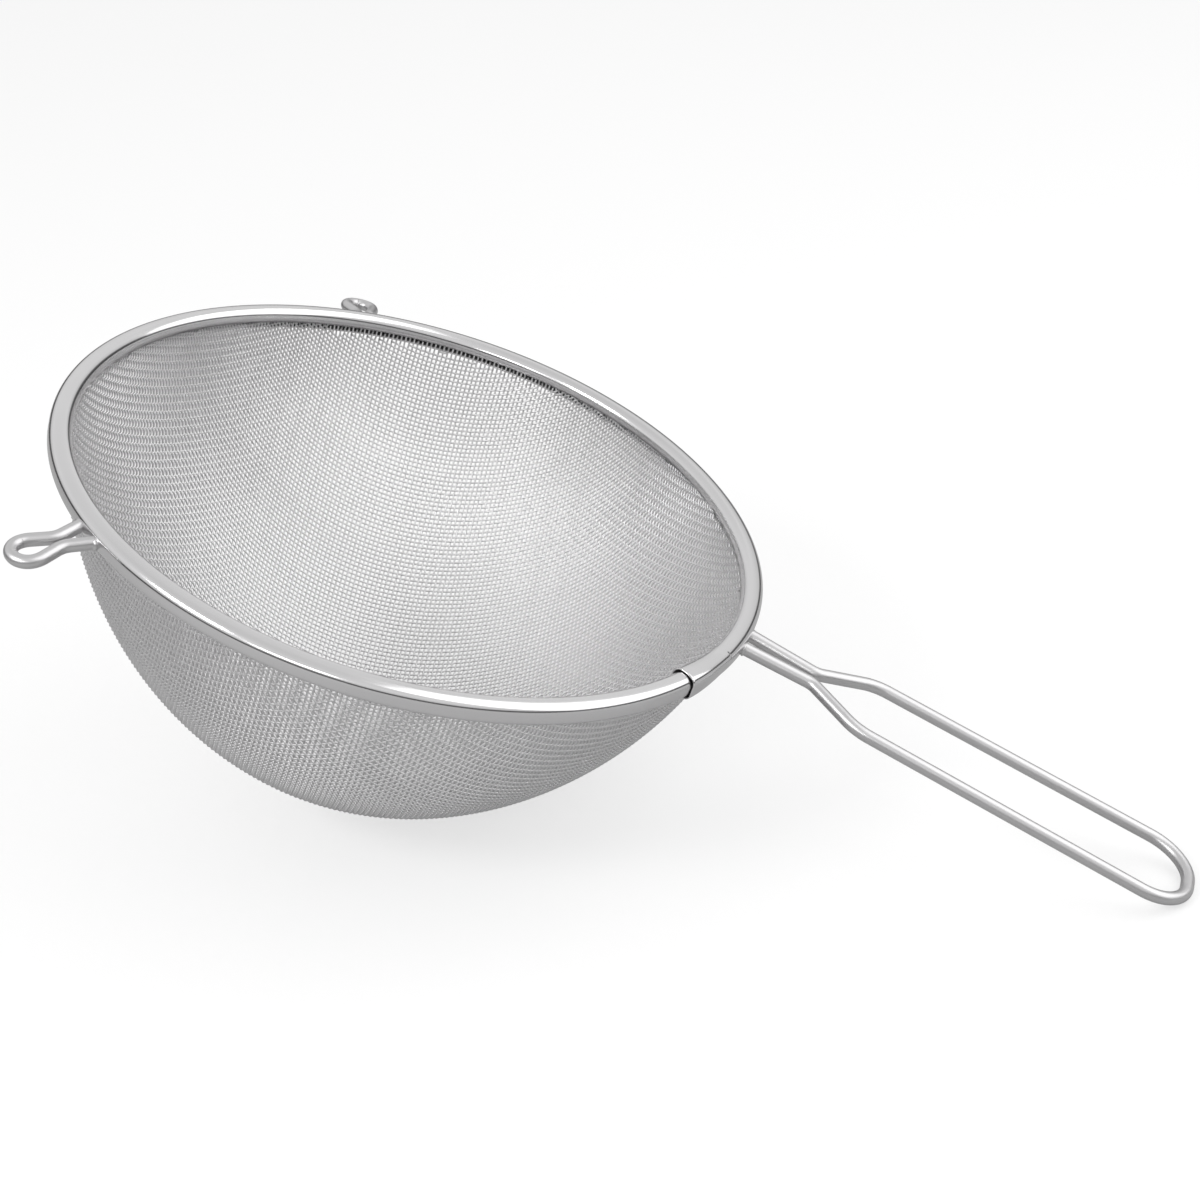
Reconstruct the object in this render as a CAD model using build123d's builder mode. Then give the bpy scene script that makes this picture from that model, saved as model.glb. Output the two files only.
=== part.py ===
from build123d import *
import os
from math import acos, asin, atan2, cos, degrees, hypot, radians, sin, sqrt

# Wire-mesh bowl strainer with a looped wire handle and two wire rest hooks, in millimetres.
# It lies on a table, on the bottom of its bowl and the end of its handle, handle along +X.
# The origin is the point of the table that the bowl touches, and +Z is up.
# Profiles are drawn in the bowl's own frame: r out from its axis, h up from the rim's widest level.

# Rim band: a strip of sheet rolled into a channel that closes on the mesh
rim_diameter = 230.0
band_width = 7.0
band_sheet = 0.6
crown_height = 2.8
inner_leg = 2.6
outer_leg = 3.9
lip_depth = 4.8
heel_radius = 1.7

# Seam, where one end of the band is opened into a sleeve and slid over the other
seam_azimuth = -21.0
sleeve_angle = 12.0
sleeve_step = 0.5
seam_groove_width = 0.8
seam_groove_depth = 0.4

# Hoop of wire that the mesh is turned over, inside the band
hoop_diameter = 3.6
hoop_drop = 0.7

# Bowl of woven wire, drawn as the sheet that the weave fills
mesh_sheet = 0.9
mesh_clearance = 0.1
mesh_tail = 1.2
bowl_depth = 108.5
cap_radius_share = 0.792
wall_radius_share = 1.226

# Handle: one length of round wire bent into a loop
handle_wire_diameter = 4.2
handle_reach = 152.5
handle_root_drop = 2.4
handle_slope = 5.5
root_half_gap = 4.3
neck_length = 23.5
neck_half_gap = 4.2
fork_length = 41.5
fork_half_gap = 14.5
loop_half_width = 15.6
neck_bend_radius = 6.0
fork_bend_radius = 16.0

# Rest hooks: two hairpins of thinner wire that carry the strainer on the edge of a pot
hook_wire_diameter = 2.9
hook_azimuth = 123.4
hook_reach = 23.5
hook_root_drop = 2.2
hook_slope = 11.0
hook_root_half_gap = 4.6
hook_waist = 7.0
hook_waist_half_gap = 3.0
hook_shoulder = 16.2
hook_half_width = 5.3
hook_bend_radius = 7.0

# Share of a loop's half width that its end's corners are rounded to, just short of a half circle
round_end_share = 0.985

# Sizes worked out from the ones above
rim_radius = rim_diameter / 2
ring_radius = rim_radius - band_width / 2
crown_centre_h = crown_height - band_width / 2
hoop_radius = hoop_diameter / 2
wrap_radius = hoop_radius + mesh_clearance + mesh_sheet / 2
wall_radius_at_rim = ring_radius - wrap_radius
handle_radius = handle_wire_diameter / 2
hook_radius = hook_wire_diameter / 2

# The bowl's profile is two tangent arcs in the middle of the sheet: a cap and a flatter wall arc.
# Their radii are shares of the radius of the single arc that would run from the pole to the rim.
wall_top_h = -lip_depth
arc_depth = bowl_depth - lip_depth - mesh_sheet / 2
single_arc_radius = (wall_radius_at_rim**2 + arc_depth**2) / (2 * arc_depth)
cap_arc_radius = cap_radius_share * single_arc_radius
wall_arc_radius = wall_radius_share * single_arc_radius
cap_radius = cap_arc_radius + mesh_sheet / 2
cap_centre_h = cap_radius - bowl_depth
rise = wall_top_h - cap_centre_h
reach = hypot(wall_radius_at_rim, rise)
centres_apart = wall_arc_radius - cap_arc_radius
lean = acos((wall_arc_radius**2 + reach**2 - centres_apart**2) / (2 * wall_arc_radius * reach))
lean -= atan2(rise, wall_radius_at_rim)
wall_centre_r = wall_radius_at_rim - wall_arc_radius * cos(lean)
wall_centre_h = wall_top_h + wall_arc_radius * sin(lean)
blend_angle = degrees(atan2(cap_centre_h - wall_centre_h, -wall_centre_r))

# The strainer tips about the cap until the end of the handle meets the table
slope = radians(handle_slope)
handle_end_r = rim_radius + handle_reach * cos(slope)
handle_end_rise = -handle_root_drop - handle_reach * sin(slope) - cap_centre_h
rest_tilt = atan2(handle_end_rise, handle_end_r) + asin(
    (cap_radius - handle_radius) / hypot(handle_end_r, handle_end_rise)
)
bowl_plane = Plane(
    origin=(-cap_centre_h * sin(rest_tilt), 0, cap_radius - cap_centre_h * cos(rest_tilt)),
    x_dir=(cos(rest_tilt), 0, -sin(rest_tilt)),
    z_dir=(sin(rest_tilt), 0, cos(rest_tilt)),
)
bowl_axis = Axis(bowl_plane.origin, bowl_plane.z_dir)


def outwards(azimuth):
    """Direction that points away from the bowl's axis at an azimuth counted from the handle."""
    turn = radians(azimuth)
    return bowl_plane.x_dir * cos(turn) + bowl_plane.y_dir * sin(turn)


def section_at(azimuth):
    """Plane through the bowl's axis, its x outwards at this azimuth and its y along the axis."""
    outward = outwards(azimuth)
    return Plane(bowl_plane.origin, x_dir=outward, z_dir=outward.cross(bowl_plane.z_dir))


def wire_plane(azimuth, root_drop, slope_angle):
    """Plane of a bent wire: its origin on the rim's outer wall, its x outwards and downwards."""
    outward = outwards(azimuth)
    fall = radians(slope_angle)
    return Plane(
        bowl_plane.origin + outward * rim_radius - bowl_plane.z_dir * root_drop,
        x_dir=outward * cos(fall) - bowl_plane.z_dir * sin(fall),
        z_dir=outward * sin(fall) + bowl_plane.z_dir * cos(fall),
    )


def band_outline(grow, wall):
    """The channel's section, its outside grown by `grow` and its wall `wall` thick inwards of that."""
    half = band_width / 2 + grow
    lip_r = -wrap_radius + mesh_sheet / 2 + mesh_clearance
    fall = (lip_depth - outer_leg) / (band_width / 2 - lip_r)
    stretch = sqrt(1 + fall**2)
    under = outer_leg + grow * (stretch - fall)
    lip_under = lip_depth + grow * stretch
    heel = heel_radius + grow
    with BuildLine() as outline:
        CenterArc((ring_radius, crown_centre_h), half, 0, 180)
        FilletPolyline(
            (ring_radius + half, crown_centre_h),
            (ring_radius + half, -under),
            (ring_radius + lip_r, -lip_under),
            radius=heel,
        )
        Line((ring_radius + lip_r, -lip_under), (ring_radius + lip_r, wall * stretch - lip_under))
        FilletPolyline(
            (ring_radius + lip_r, wall * stretch - lip_under),
            (ring_radius + half - wall, wall * (stretch - fall) - under),
            (ring_radius + half - wall, crown_centre_h),
            radius=heel - wall,
        )
        CenterArc((ring_radius, crown_centre_h), half - wall, 0, 180)
        Polyline(
            (ring_radius - half + wall, crown_centre_h),
            (ring_radius - half + wall, -inner_leg),
            (ring_radius - half, -inner_leg),
            (ring_radius - half, crown_centre_h),
        )
    return outline.edges()


def sheet_side(side):
    """One face of the bowl's sheet, from the pole up the wall and over the hoop; out is positive."""
    radius = wall_arc_radius + side
    sweep_angle = -degrees(lean) - blend_angle
    foot_r = wall_radius_at_rim + side
    wrap = wrap_radius - side
    with BuildLine() as face:
        CenterArc((0, cap_centre_h), cap_arc_radius + side, -90, 90 + blend_angle)
        wall = CenterArc((wall_centre_r, wall_centre_h), radius, blend_angle, sweep_angle)
        Line(wall @ 1, (foot_r, -hoop_drop))
        CenterArc((ring_radius, -hoop_drop), wrap, 0, 180)
        Line((ring_radius + wrap, -hoop_drop), (ring_radius + wrap, -hoop_drop - mesh_tail))
    return face.edges()


def bent_wire(plane, points, radii, wire_radius):
    """A round wire bent at corners in a plane, its ends cut to the rim's outer wall."""
    with BuildPart() as wire:
        with BuildLine(plane) as route:
            FilletPolyline(*points, radius=radii)
        with BuildSketch(Plane(route.line @ 0, z_dir=route.line % 0)):
            Circle(wire_radius)
        sweep(path=route.line)
        with Locations(bowl_plane):
            Cylinder(rim_radius, 2 * rim_radius, mode=Mode.SUBTRACT)
    return wire.part


def mirrored(half_points):
    """The corners of one leg and, in turn, those of its mirror image."""
    return half_points + [(x, -y) for x, y in reversed(half_points)]


def save(part, name):
    part.label = name
    export_step(part, f"parts/{name}.step")


os.makedirs("parts", exist_ok=True)

# Rim band: one end of the plain channel slides into the other, opened into a sleeve that tapers back
groove_angle = degrees(seam_groove_width / ring_radius)
with BuildPart() as sleeve:
    with BuildLine(bowl_plane) as sleeve_path:
        CenterArc((0, 0), ring_radius, seam_azimuth, sleeve_angle)
    with BuildSketch(section_at(seam_azimuth)):
        make_face(band_outline(sleeve_step, band_sheet + sleeve_step))
    with BuildSketch(section_at(seam_azimuth + sleeve_angle)):
        make_face(band_outline(0, band_sheet))
    sweep(path=sleeve_path.line, multisection=True)
with BuildPart() as rim_band:
    with BuildSketch(section_at(seam_azimuth + sleeve_angle)):
        make_face(band_outline(0, band_sheet))
    revolve(axis=bowl_axis, revolution_arc=360 - sleeve_angle)
    add(sleeve.part)
    with BuildSketch(section_at(seam_azimuth - groove_angle)):
        make_face(band_outline(0, seam_groove_depth))
    revolve(axis=bowl_axis, revolution_arc=groove_angle, mode=Mode.SUBTRACT)
save(rim_band.part, "rim_band")

# Hoop inside the band
with BuildPart() as rim_hoop:
    with BuildSketch(section_at(0)):
        with Locations((ring_radius, -hoop_drop)):
            Circle(hoop_radius)
    revolve(axis=bowl_axis)
save(rim_hoop.part, "rim_hoop")

# Bowl of mesh, turned over the hoop
with BuildPart() as mesh_bowl:
    with BuildSketch(section_at(0)):
        with BuildLine():
            add(sheet_side(mesh_sheet / 2))
            add(sheet_side(-mesh_sheet / 2))
            Line((0, -bowl_depth), (0, mesh_sheet - bowl_depth))
            Line(
                (ring_radius + wrap_radius - mesh_sheet / 2, -hoop_drop - mesh_tail),
                (ring_radius + wrap_radius + mesh_sheet / 2, -hoop_drop - mesh_tail),
            )
        make_face()
    revolve(axis=bowl_axis)
save(mesh_bowl.part, "mesh_bowl")

# Handle
handle_corners = [
    (-band_width, root_half_gap),
    (neck_length, neck_half_gap),
    (fork_length, fork_half_gap),
    (handle_reach, loop_half_width),
]
handle_bends = [neck_bend_radius, fork_bend_radius, round_end_share * loop_half_width]
handle_wire = bent_wire(
    wire_plane(0, handle_root_drop, handle_slope),
    mirrored(handle_corners),
    handle_bends + handle_bends[::-1],
    handle_radius,
)
save(handle_wire, "handle_wire")

# Rest hooks, one each side of the point opposite the handle
hook_corners = [
    (-band_width / 2, hook_root_half_gap),
    (hook_waist, hook_waist_half_gap),
    (hook_shoulder, hook_half_width),
    (hook_reach, hook_half_width),
]
hook_bends = [hook_bend_radius, hook_bend_radius, round_end_share * hook_half_width]
for side, name in ((-1, "rest_hook_near"), (1, "rest_hook_far")):
    rest_hook = bent_wire(
        wire_plane(side * hook_azimuth, hook_root_drop, hook_slope),
        mirrored(hook_corners),
        hook_bends + hook_bends[::-1],
        hook_radius,
    )
    save(rest_hook, name)

print("tilt at rest", round(degrees(rest_tilt), 2), "degrees")
print("rim level's centre", [round(value, 2) for value in bowl_plane.origin])
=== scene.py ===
from math import acos, asin, atan2, cos, hypot, pi, radians, sin, tan

import bmesh
import bpy
import numpy as np
from mathutils import Matrix, Quaternion, Vector


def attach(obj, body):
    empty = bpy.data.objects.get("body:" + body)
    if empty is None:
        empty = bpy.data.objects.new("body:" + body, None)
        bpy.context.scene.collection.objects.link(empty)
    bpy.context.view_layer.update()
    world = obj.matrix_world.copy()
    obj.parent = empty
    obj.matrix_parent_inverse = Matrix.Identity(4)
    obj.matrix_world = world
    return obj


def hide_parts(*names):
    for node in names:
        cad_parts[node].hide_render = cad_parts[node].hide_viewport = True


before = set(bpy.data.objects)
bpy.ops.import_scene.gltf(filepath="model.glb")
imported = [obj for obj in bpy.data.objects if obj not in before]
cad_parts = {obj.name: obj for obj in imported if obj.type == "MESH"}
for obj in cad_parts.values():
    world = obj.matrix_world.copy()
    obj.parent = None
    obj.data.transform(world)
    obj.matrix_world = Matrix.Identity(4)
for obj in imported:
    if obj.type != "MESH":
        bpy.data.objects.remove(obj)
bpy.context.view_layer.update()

# The pieces are shaped in millimetres in the bowl's own frame: z along its axis, up from the rim's
# widest level, x towards the handle. bowl_frame then sets them in the shared frame, in metres.
rim_radius = 115.0
band_width = 7.0
band_sheet = 0.6
crown_height = 2.8
inner_leg = 1.9
outer_leg = 3.9
lip_depth = 4.8
heel_radius = 1.7
hoop_radius = 1.8
mesh_sheet = 0.9
mesh_clearance = 0.1
bowl_depth = 108.5
handle_gauge = 4.2
handle_reach = 152.5
handle_drop = 2.4
handle_slope = radians(5.5)

millimetre = 0.001

# The bowl's profile is two tangent arcs, whose radii are shares of the one arc from pole to rim
cap_share = 0.792
wall_share = 1.226
ring_radius = rim_radius - band_width / 2
wall_top_h = -lip_depth
wall_top_r = ring_radius - hoop_radius - mesh_clearance - mesh_sheet / 2
arc_depth = bowl_depth - lip_depth - mesh_sheet / 2
single_arc = (wall_top_r**2 + arc_depth**2) / (2 * arc_depth)
cap_arc = cap_share * single_arc
wall_arc = wall_share * single_arc
cap_radius = cap_arc + mesh_sheet / 2
cap_centre_h = cap_radius - bowl_depth
rise = wall_top_h - cap_centre_h
span = hypot(wall_top_r, rise)
lean = acos((wall_arc**2 + span**2 - (wall_arc - cap_arc) ** 2) / (2 * wall_arc * span))
lean -= atan2(rise, wall_top_r)
wall_centre = (wall_top_r - wall_arc * cos(lean), wall_top_h + wall_arc * sin(lean))
blend = atan2(cap_centre_h - wall_centre[1], -wall_centre[0])

# The strainer tips about its cap until the end of the handle meets the table
handle_end_r = rim_radius + handle_reach * cos(handle_slope)
handle_end_rise = -handle_drop - handle_reach * sin(handle_slope) - cap_centre_h
rest_tilt = atan2(handle_end_rise, handle_end_r)
rest_tilt += asin((cap_radius - handle_gauge / 2) / hypot(handle_end_r, handle_end_rise))
cap_centre = (-cap_centre_h * sin(rest_tilt), 0, cap_radius - cap_centre_h * cos(rest_tilt))
bowl_frame = (
    Matrix.Scale(millimetre, 4)
    @ Matrix.Translation(cap_centre)
    @ Matrix.Rotation(rest_tilt, 4, "Y")
)

floor_half = 1.8


def photo_camera():
    """The photo's camera, fitted to the strainer in the picture."""
    eye = Vector((0.26059, -0.56189, 0.36731))
    aim = Vector((0.06566, 0.00276, 0.07375))
    roll = radians(1.83)
    data = bpy.data.cameras.new("photo_camera")
    data.sensor_width = 36
    data.lens = 63.0
    camera = bpy.data.objects.new("photo_camera", data)
    camera.location = eye
    camera.rotation_mode = "QUATERNION"
    level = (aim - eye).to_track_quat("-Z", "Y")
    camera.rotation_quaternion = level @ Quaternion((0, 0, 1), -roll)
    bpy.context.scene.collection.objects.link(camera)
    bpy.context.scene.camera = camera


def soft_lamp(name, place, aim, size, power):
    """A rectangular lamp that points at aim. Its lengths are metres and its power is watts."""
    data = bpy.data.lights.new(name, "AREA")
    data.shape = "RECTANGLE"
    data.size, data.size_y = size
    data.energy = power
    lamp = bpy.data.objects.new(name, data)
    lamp.location = place
    lamp.rotation_mode = "QUATERNION"
    lamp.rotation_quaternion = (Vector(aim) - Vector(place)).to_track_quat("-Z", "Y")
    bpy.context.scene.collection.objects.link(lamp)


def studio_world():
    """A grey room, dark just over the horizon, which draws the thin dark line along the rim's outer
    shoulder. The camera itself sees it white."""
    world = bpy.data.worlds.new("studio")
    bpy.context.scene.world = world
    world.use_nodes = True
    tree = world.node_tree
    tree.nodes.clear()
    where = tree.nodes.new("ShaderNodeTexCoord")
    split = tree.nodes.new("ShaderNodeSeparateXYZ")
    height = tree.nodes.new("ShaderNodeMapRange")
    height.inputs["From Min"].default_value = -1
    height.inputs["From Max"].default_value = 1
    walls = tree.nodes.new("ShaderNodeValToRGB")
    walls.color_ramp.interpolation = "EASE"
    # Share of the way from straight down to straight up, and the grey there
    stops = [
        (0.0, 0.2), (0.5, 0.08), (0.57, 0.12), (0.63, 0.74), (0.76, 0.88), (0.9, 0.82), (1.0, 0.76),
    ]
    elements = walls.color_ramp.elements
    while len(elements) < len(stops):
        elements.new(0.5)
    for element, (at, grey) in zip(elements, stops):
        element.position = at
        element.color = (grey, grey, grey, 1)
    room = tree.nodes.new("ShaderNodeBackground")
    room.inputs["Strength"].default_value = 1.0
    backdrop = tree.nodes.new("ShaderNodeBackground")
    backdrop.inputs["Color"].default_value = (1, 1, 1, 1)
    rays = tree.nodes.new("ShaderNodeLightPath")
    choose = tree.nodes.new("ShaderNodeMixShader")
    out = tree.nodes.new("ShaderNodeOutputWorld")
    link = tree.links.new
    link(where.outputs["Generated"], split.inputs[0])
    link(split.outputs["Z"], height.inputs["Value"])
    link(height.outputs[0], walls.inputs["Fac"])
    link(walls.outputs["Color"], room.inputs["Color"])
    link(rays.outputs["Is Camera Ray"], choose.inputs["Fac"])
    link(room.outputs[0], choose.inputs[1])
    link(backdrop.outputs[0], choose.inputs[2])
    link(choose.outputs[0], out.inputs["Surface"])


def pale_floor():
    """A matt floor. The camera sees it whiter than the steel does, with a share of glow."""
    bm = bmesh.new()
    bmesh.ops.create_grid(bm, x_segments=1, y_segments=1, size=floor_half)
    floor = new_piece("floor", bm)
    material = bpy.data.materials.new("pale floor")
    material.use_nodes = True
    tree = material.node_tree
    shell = tree.nodes["Principled BSDF"]
    shell.inputs["Roughness"].default_value = 0.9
    grey = tree.nodes.new("ShaderNodeMix")
    grey.data_type = "RGBA"
    grey.inputs["A"].default_value = (0.45, 0.45, 0.45, 1)
    grey.inputs["B"].default_value = (0.95, 0.95, 0.95, 1)
    glow = tree.nodes.new("ShaderNodeEmission")
    glow.inputs["Color"].default_value = (1, 1, 1, 1)
    rays = tree.nodes.new("ShaderNodeLightPath")
    share = tree.nodes.new("ShaderNodeMath")
    share.operation = "MULTIPLY"
    share.inputs[1].default_value = 0.6
    mix = tree.nodes.new("ShaderNodeMixShader")
    link = tree.links.new
    link(rays.outputs["Is Camera Ray"], grey.inputs["Factor"])
    link(grey.outputs["Result"], shell.inputs["Base Color"])
    link(rays.outputs["Is Camera Ray"], share.inputs[0])
    link(share.outputs[0], mix.inputs["Fac"])
    link(shell.outputs[0], mix.inputs[1])
    link(glow.outputs[0], mix.inputs[2])
    link(mix.outputs[0], tree.nodes["Material Output"].inputs["Surface"])
    floor.data.materials.append(material)


def new_piece(name, bm):
    """A mesh object at the origin from a finished bmesh, which is used up."""
    mesh = bpy.data.meshes.new(name)
    bm.to_mesh(mesh)
    bm.free()
    piece = bpy.data.objects.new(name, mesh)
    bpy.context.scene.collection.objects.link(piece)
    return piece


def finish_piece(piece, material, slot, *nodes):
    """Gives a piece its finish and its body, and hides the CAD nodes that it stands for."""
    piece.data.materials.append(material)
    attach(piece, "root")
    if nodes:
        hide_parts(*nodes)


def stainless(name, grey, roughness, grain, clouds, bump):
    """A grey metal: its roughness and height vary in a fine grain, and its grey in slow clouds."""
    material = bpy.data.materials.new(name)
    material.use_nodes = True
    tree = material.node_tree
    link = tree.links.new
    steel = tree.nodes["Principled BSDF"]
    steel.inputs["Metallic"].default_value = 1
    place = tree.nodes.new("ShaderNodeTexCoord")
    fine = tree.nodes.new("ShaderNodeTexNoise")
    fine.inputs["Scale"].default_value = grain
    fine.inputs["Detail"].default_value = 3
    slow = tree.nodes.new("ShaderNodeTexNoise")
    slow.inputs["Scale"].default_value = 55
    slow.inputs["Detail"].default_value = 4
    tint = tree.nodes.new("ShaderNodeMapRange")
    tint.inputs["To Min"].default_value = 1 - clouds
    tint.inputs["To Max"].default_value = 1 + clouds
    colour = tree.nodes.new("ShaderNodeMix")
    colour.data_type = "RGBA"
    colour.blend_type = "MULTIPLY"
    colour.inputs["Factor"].default_value = 1
    colour.inputs["A"].default_value = (grey, grey * 0.992, grey, 1)
    rough = tree.nodes.new("ShaderNodeMapRange")
    rough.inputs["To Min"].default_value = roughness * 0.9
    rough.inputs["To Max"].default_value = roughness * 1.12
    relief = tree.nodes.new("ShaderNodeBump")
    relief.inputs["Strength"].default_value = bump
    relief.inputs["Distance"].default_value = 0.1 * millimetre
    link(place.outputs["Object"], fine.inputs["Vector"])
    link(place.outputs["Object"], slow.inputs["Vector"])
    link(slow.outputs["Fac"], tint.inputs["Value"])
    link(tint.outputs[0], colour.inputs["B"])
    link(colour.outputs["Result"], steel.inputs["Base Color"])
    link(fine.outputs["Fac"], rough.inputs["Value"])
    link(rough.outputs[0], steel.inputs["Roughness"])
    link(fine.outputs["Fac"], relief.inputs["Height"])
    link(relief.outputs[0], steel.inputs["Normal"])
    return material


# Woven mesh
pitch = 1.6
wire_radius = 0.33
net_turn = radians(18)
cap_length = cap_arc * (blend + pi / 2)
wall_length = wall_arc * (-lean - blend)
weave_top = cap_length + wall_length + 3.4
# In the fringe under the rim only the wires that run up to it are left: those that climb by more
# than this share of a pitch from crossing to crossing
fringe_start = cap_length + wall_length - 0.2
fringe_steepness = 0.6
# Rounds of Newton's method for each crossing of the cloth
crossing_rounds = 12


def profile(along):
    """The bowl's middle line at a length from the pole: radius, height and their slopes."""
    on_cap = along < cap_length
    straight = along > cap_length + wall_length
    turn = np.where(on_cap, along / cap_arc - pi / 2, blend + (along - cap_length) / wall_arc)
    turn = np.where(straight, 0.0, turn)
    radius = np.where(on_cap, cap_arc, wall_arc)
    centre_r = np.where(on_cap, 0.0, wall_centre[0])
    centre_h = np.where(on_cap, cap_centre_h, wall_centre[1])
    r = np.where(straight, wall_top_r, centre_r + radius * np.cos(turn))
    upright = wall_top_h + along - cap_length - wall_length
    h = np.where(straight, upright, centre_h + radius * np.sin(turn))
    return r, h, -np.sin(turn), np.cos(turn)


def on_bowl(along, azimuth):
    """Point on the bowl's middle sheet, its slopes up and round the bowl, and its normal."""
    r, h, slope_r, slope_h = profile(along)
    c, s = np.cos(azimuth), np.sin(azimuth)
    point = np.stack([r * c, r * s, h], -1)
    up = np.stack([slope_r * c, slope_r * s, slope_h], -1)
    around = np.stack([-r * s, r * c, 0 * r], -1)
    normal = np.stack([slope_h * c, slope_h * s, -slope_r], -1)
    return point, up, around, normal


def woven_quarter(count):
    """A quarter of the pressed cloth: every crossing lies one pitch from its two neighbours."""
    along = np.zeros((count + 1, count + 1))
    azimuth = np.zeros((count + 1, count + 1))
    steps = np.arange(count + 1) * pitch
    along[:, 0] = steps
    along[0, :] = steps
    azimuth[0, 1:] = pi / 2
    point = on_bowl(along, azimuth)[0]
    for diagonal in range(2, 2 * count + 1):
        i = np.arange(max(1, diagonal - count), min(count, diagonal - 1) + 1)
        j = diagonal - i
        left, below = point[i - 1, j], point[i, j - 1]
        guess = left + below - point[i - 1, j - 1]
        a = along[i - 1, j] + along[i, j - 1] - along[i - 1, j - 1]
        t = np.arctan2(guess[:, 1], guess[:, 0])
        for _ in range(crossing_rounds):
            here, up, around, _normal = on_bowl(a, t)
            to_left, to_below = here - left, here - below
            miss_left = (to_left**2).sum(-1) - pitch**2
            miss_below = (to_below**2).sum(-1) - pitch**2
            la, lt = 2 * (to_left * up).sum(-1), 2 * (to_left * around).sum(-1)
            ba, bt = 2 * (to_below * up).sum(-1), 2 * (to_below * around).sum(-1)
            det = la * bt - lt * ba
            det = np.where(abs(det) < 1e-9, 1e-9, det)
            a = a - np.clip((miss_left * bt - miss_below * lt) / det, -pitch, pitch)
            t = t - np.clip((miss_below * la - miss_left * ba) / det, -0.05, 0.05)
        along[i, j], azimuth[i, j] = a, t
        point[i, j] = on_bowl(a, t)[0]
    return along, azimuth


def weave():
    """The two families of woven wires as lists of polylines in the bowl's frame."""
    count = int(weave_top / pitch) + 6
    along, azimuth = woven_quarter(count)
    index = np.arange(-count, count + 1)
    ii, jj = np.meshgrid(index, index, indexing="ij")
    a = along[abs(ii), abs(jj)]
    t = azimuth[abs(ii), abs(jj)]
    t = np.where(ii < 0, pi - t, t)
    t = np.where(jj < 0, -t, t) + net_turn
    point, _up, _around, normal = on_bowl(a, t)
    lift = wire_radius * np.where((ii + jj) % 2 == 0, 1, -1)[..., None] * normal
    families = []
    for axis, sign in ((0, 1), (1, -1)):
        steep = abs(np.gradient(a, axis=axis)) > fringe_steepness * pitch
        kept = (a <= fringe_start) | ((a <= weave_top) & steep)
        wires = []
        lines = np.moveaxis(point + sign * lift, axis, 1)
        for line, keep in zip(lines, np.moveaxis(kept, axis, 1)):
            nodes = np.flatnonzero(keep)
            for run in np.split(nodes, np.flatnonzero(np.diff(nodes) > 1) + 1):
                if len(run) > 2:
                    wires.append(line[run])
        families.append(wires)
    return families


def wire_cloth(name, wires, material):
    """Round wires along polylines as one curve object."""
    data = bpy.data.curves.new(name, "CURVE")
    data.dimensions = "3D"
    data.bevel_depth = wire_radius * millimetre
    data.bevel_resolution = 1
    place = np.array(bowl_frame)
    for line in wires:
        flat = np.hstack([line, np.ones((len(line), 1))]) @ place.T
        spline = data.splines.new("POLY")
        spline.points.add(len(line) - 1)
        spline.points.foreach_set("co", flat.astype(np.float32).ravel())
        spline.use_smooth = True
    piece = bpy.data.objects.new(name, data)
    bpy.context.scene.collection.objects.link(piece)
    finish_piece(piece, material, "mesh_wire", "mesh_bowl")


# Section of the rolled rim band: a flat crown that turns sharply down into the outer wall
lip_reach = hoop_radius
crown_peak = -0.6
inner_shoulder_drop = 0.9
outer_shoulder_drop = 0.9
inner_shoulder = 2.2
crown_bend = 1.6
outer_shoulder = 2.2

# Seam of the band
seam_azimuth = radians(-21)
sleeve_angle = radians(12)
sleeve_step = 0.7
sleeve_tuck = 0.12
sleeve_sheet = 0.35
# The plain strip's two ends stand inside the sleeve, at these shares of its length
strip_start = 0.6
strip_end = 0.3


def band_sheet_strip(start, sweep, steps, grow):
    """Part of the rolled channel as sheet of real thickness, from one azimuth round to another."""
    bm = bmesh.new()
    half = band_width / 2 + grow
    corners = [
        (-half, -inner_leg),
        (-half, crown_height - inner_shoulder_drop + grow),
        (crown_peak, crown_height + grow),
        (half, crown_height - outer_shoulder_drop + grow),
        (half, -outer_leg - grow),
        (-lip_reach, -lip_depth - grow),
    ]
    radii = [inner_shoulder, crown_bend, outer_shoulder, heel_radius]
    chain = [bm.verts.new((ring_radius + r, 0, h)) for r, h in corners]
    for first, second in zip(chain, chain[1:]):
        bm.edges.new((first, second))
    for corner, radius in zip(chain[1:-1], radii):
        bmesh.ops.bevel(
            bm, geom=[corner], offset=radius, affect="VERTICES",
            segments=8, profile=0.5, material=-1,
        )
    bmesh.ops.rotate(bm, verts=bm.verts, cent=(0, 0, 0), matrix=Matrix.Rotation(start, 3, "Z"))
    bmesh.ops.spin(
        bm, geom=bm.verts[:] + bm.edges[:], cent=(0, 0, 0), axis=(0, 0, 1), dvec=(0, 0, 0),
        angle=sweep, steps=steps, use_merge=False,
    )
    bmesh.ops.recalc_face_normals(bm, faces=bm.faces[:])
    return bm


def face_outwards(bm):
    """Turns the sheet's faces so that the crown's look up."""
    top = max(bm.faces, key=lambda f: f.calc_center_median().z)
    if top.normal.z < 0:
        bmesh.ops.reverse_faces(bm, faces=bm.faces[:])


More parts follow.
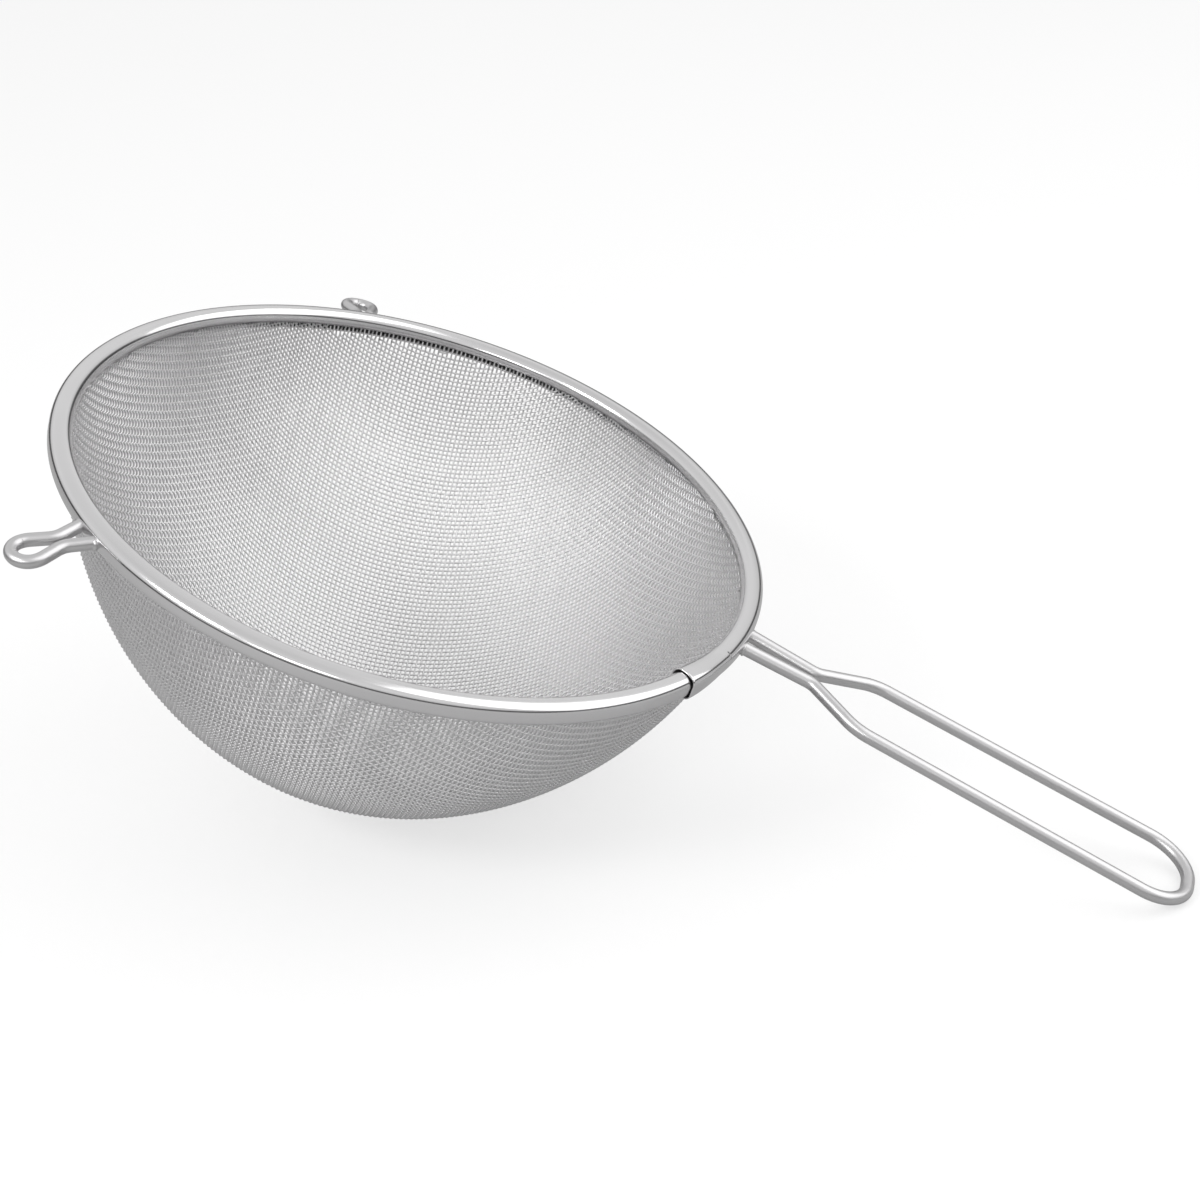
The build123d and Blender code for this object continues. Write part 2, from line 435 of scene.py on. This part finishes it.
def rim_band(material, inside):
    """The rolled band: a plain strip round the rim, and the opened end that is slipped over it."""
    strip_sweep = 2 * pi - sleeve_angle * (strip_start - strip_end)
    plain = band_sheet_strip(seam_azimuth + sleeve_angle * strip_start, strip_sweep, 360, 0)
    sleeve = band_sheet_strip(seam_azimuth, sleeve_angle, 36, sleeve_step)
    # The sleeve tapers from its open mouth back to just under the plain section's surface
    for v in sleeve.verts:
        azimuth = atan2(v.co.y, v.co.x)
        share = (azimuth - seam_azimuth) / sleeve_angle
        ease = share * share * (3 - 2 * share)
        middle = Vector((cos(azimuth), sin(azimuth), 0)) * ring_radius
        shrink = ease * (sleeve_step + sleeve_tuck)
        height = v.co.z * (1 - shrink / (crown_height + sleeve_step))
        v.co = middle + (v.co - middle) * (1 - shrink / (band_width / 2 + sleeve_step))
        v.co.z = height
    parts = (("rim_band_strip", plain, band_sheet), ("rim_band_sleeve", sleeve, sleeve_sheet))
    for name, bm, sheet in parts:
        face_outwards(bm)
        for face in bm.faces:
            face.smooth = True
        bmesh.ops.transform(bm, matrix=bowl_frame, verts=bm.verts)
        piece = new_piece(name, bm)
        wall = piece.modifiers.new("sheet", "SOLIDIFY")
        wall.thickness = sheet * millimetre
        wall.offset = -1
        # The inner shell takes the second material, the dark grey of painted shade inside the
        # channel.
        wall.material_offset = 1
        finish_piece(piece, material, "rim_sheet", "rim_band")
        piece.data.materials.append(inside)


def bent_wire(name, azimuth, root_drop, slope, corners, radii, gauge, material, node):
    """A round wire laid through corner points in a sloping plane, each bent to its own radius."""
    plane = (
        bowl_frame
        @ Matrix.Rotation(azimuth, 4, "Z")
        @ Matrix.Translation((rim_radius, 0, -root_drop))
        @ Matrix.Rotation(slope, 4, "Y")
    )
    corners = corners + [(x, -y) for x, y in reversed(corners)]
    radii = radii + radii[::-1]
    points = [Vector((x, y, 0)) for x, y in corners]
    knots = [(points[0], None, None)]
    for before, corner, after, radius in zip(points, points[1:], points[2:], radii):
        back, ahead = (before - corner).normalized(), (after - corner).normalized()
        bend = pi - back.angle(ahead)
        setback = radius * tan(bend / 2)
        handle = 4 / 3 * tan(bend / 4) * radius
        knots.append((corner + back * setback, None, corner + back * (setback - handle)))
        knots.append((corner + ahead * setback, corner + ahead * (setback - handle), None))
    knots.append((points[-1], None, None))
    data = bpy.data.curves.new(name, "CURVE")
    data.dimensions = "3D"
    data.bevel_depth = gauge / 2 * millimetre
    data.bevel_resolution = 16
    data.resolution_u = 24
    data.use_fill_caps = True
    spline = data.splines.new("BEZIER")
    spline.bezier_points.add(len(knots) - 1)
    for n, (knot, (place, left, right)) in enumerate(zip(spline.bezier_points, knots)):
        last = knots[n - 1][0] if n else place
        following = knots[n + 1][0] if n + 1 < len(knots) else place
        knot.handle_left_type = knot.handle_right_type = "FREE"
        knot.co = plane @ place
        knot.handle_left = plane @ (left if left is not None else place.lerp(last, 1 / 3))
        knot.handle_right = plane @ (right if right is not None else place.lerp(following, 1 / 3))
    piece = bpy.data.objects.new(name, data)
    bpy.context.scene.collection.objects.link(piece)
    finish_piece(piece, material, "bright_wire", node)


def weld_bead(name, azimuth, sideways, drop, size, material):
    """A flattened drop of weld metal where a wire's end meets the rim's outer wall."""
    place = (
        bowl_frame
        @ Matrix.Rotation(azimuth, 4, "Z")
        @ Matrix.Translation((rim_radius, sideways, -drop))
        @ Matrix.Diagonal((*size, 1))
    )
    bm = bmesh.new()
    bmesh.ops.create_uvsphere(bm, u_segments=24, v_segments=14, radius=1, matrix=place)
    for face in bm.faces:
        face.smooth = True
    bead = new_piece(name, bm)
    finish_piece(bead, material, "bright_wire")


# Corners of half of each wire: reach from the rim's outer wall, and distance from its middle line
handle_half = 15.6
handle_corners = [(-0.8, 4.3), (23.5, 3.1), (41.5, 14.5), (handle_reach, handle_half)]
handle_radii = [6.0, 16.0, 0.9 * handle_half]
hook_half = 4.8
hook_corners = [(-0.8, 4.5), (8.0, 2.1), (15.8, hook_half), (22.0, hook_half)]
hook_radii = [7.0, 7.0, 0.985 * hook_half]
hook_gauge = 4.0
hook_drop = 2.2
hook_slope = radians(11.0)
hook_azimuths = {"near": radians(-123.4), "far": radians(122.6)}

# Weld beads: distance from each wire's middle line, drop below the rim's widest level, half sizes
weld_sideways = 4.6
handle_weld_drop = 2.5
handle_weld_size = (1.0, 2.2, 2.2)
hook_weld_drop = 2.3
hook_weld_size = (1.0, 2.3, 2.1)

bpy.context.scene.view_settings.view_transform = "Standard"
studio_world()
pale_floor()
photo_camera()
soft_lamp(
    "key_from_the_left", place=(-0.45, -0.85, 0.85), aim=(0.05, 0, 0.1), size=(0.4, 0.3), power=4.5
)
soft_lamp(
    "strip_over_the_camera",
    place=(0.1, -1.15, 0.65), aim=(0.05, 0, 0.1), size=(0.5, 0.15), power=1.2,
)
soft_lamp("side_light", place=(1.2, 0.35, 1.05), aim=(0, 0, 0.1), size=(1.8, 1.8), power=11)

# Painted shade: the sheet's inner side, inside the narrow rolled channel, gets a dark grey that
# stands in for the shade there. The steel's finish is no different on that side.
shaded_steel = stainless(
    "inner side of the sheet painted dark as shade",
    grey=0.16, roughness=0.6, grain=300, clouds=0.03, bump=0.02,
)
mesh_steel = stainless(
    "woven stainless wire", grey=0.75, roughness=0.42, grain=300, clouds=0.04, bump=0.05
)
sheet_steel = stainless(
    "rolled stainless sheet", grey=0.7, roughness=0.14, grain=300, clouds=0.02, bump=0.01
)
wire_steel = stainless(
    "drawn stainless wire", grey=0.6, roughness=0.36, grain=60, clouds=0.03, bump=0.0
)

for family, wires in zip(("warp", "weft"), weave()):
    middle = len(wires) // 2
    wire_cloth(f"mesh_{family}_first_half", wires[:middle], mesh_steel)
    wire_cloth(f"mesh_{family}_second_half", wires[middle:], mesh_steel)
rim_band(sheet_steel, shaded_steel)
bent_wire(
    "handle_loop_wire", 0, handle_drop, handle_slope,
    handle_corners, handle_radii, handle_gauge, wire_steel, "handle_wire",
)
for name, azimuth in hook_azimuths.items():
    bent_wire(
        f"rest_hook_{name}_wire", azimuth, hook_drop, hook_slope,
        hook_corners, hook_radii, hook_gauge, wire_steel, f"rest_hook_{name}",
    )
    for side, leg in ((-1, "first"), (1, "second")):
        weld_bead(
            f"rest_hook_{name}_weld_{leg}", azimuth, side * weld_sideways,
            hook_weld_drop, hook_weld_size, wire_steel,
        )
for side, leg in ((-1, "near"), (1, "far")):
    weld_bead(
        f"handle_weld_{leg}", 0, side * weld_sideways,
        handle_weld_drop, handle_weld_size, wire_steel,
    )
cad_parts["rim_hoop"].data.materials.clear()
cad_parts["rim_hoop"].data.materials.append(wire_steel)
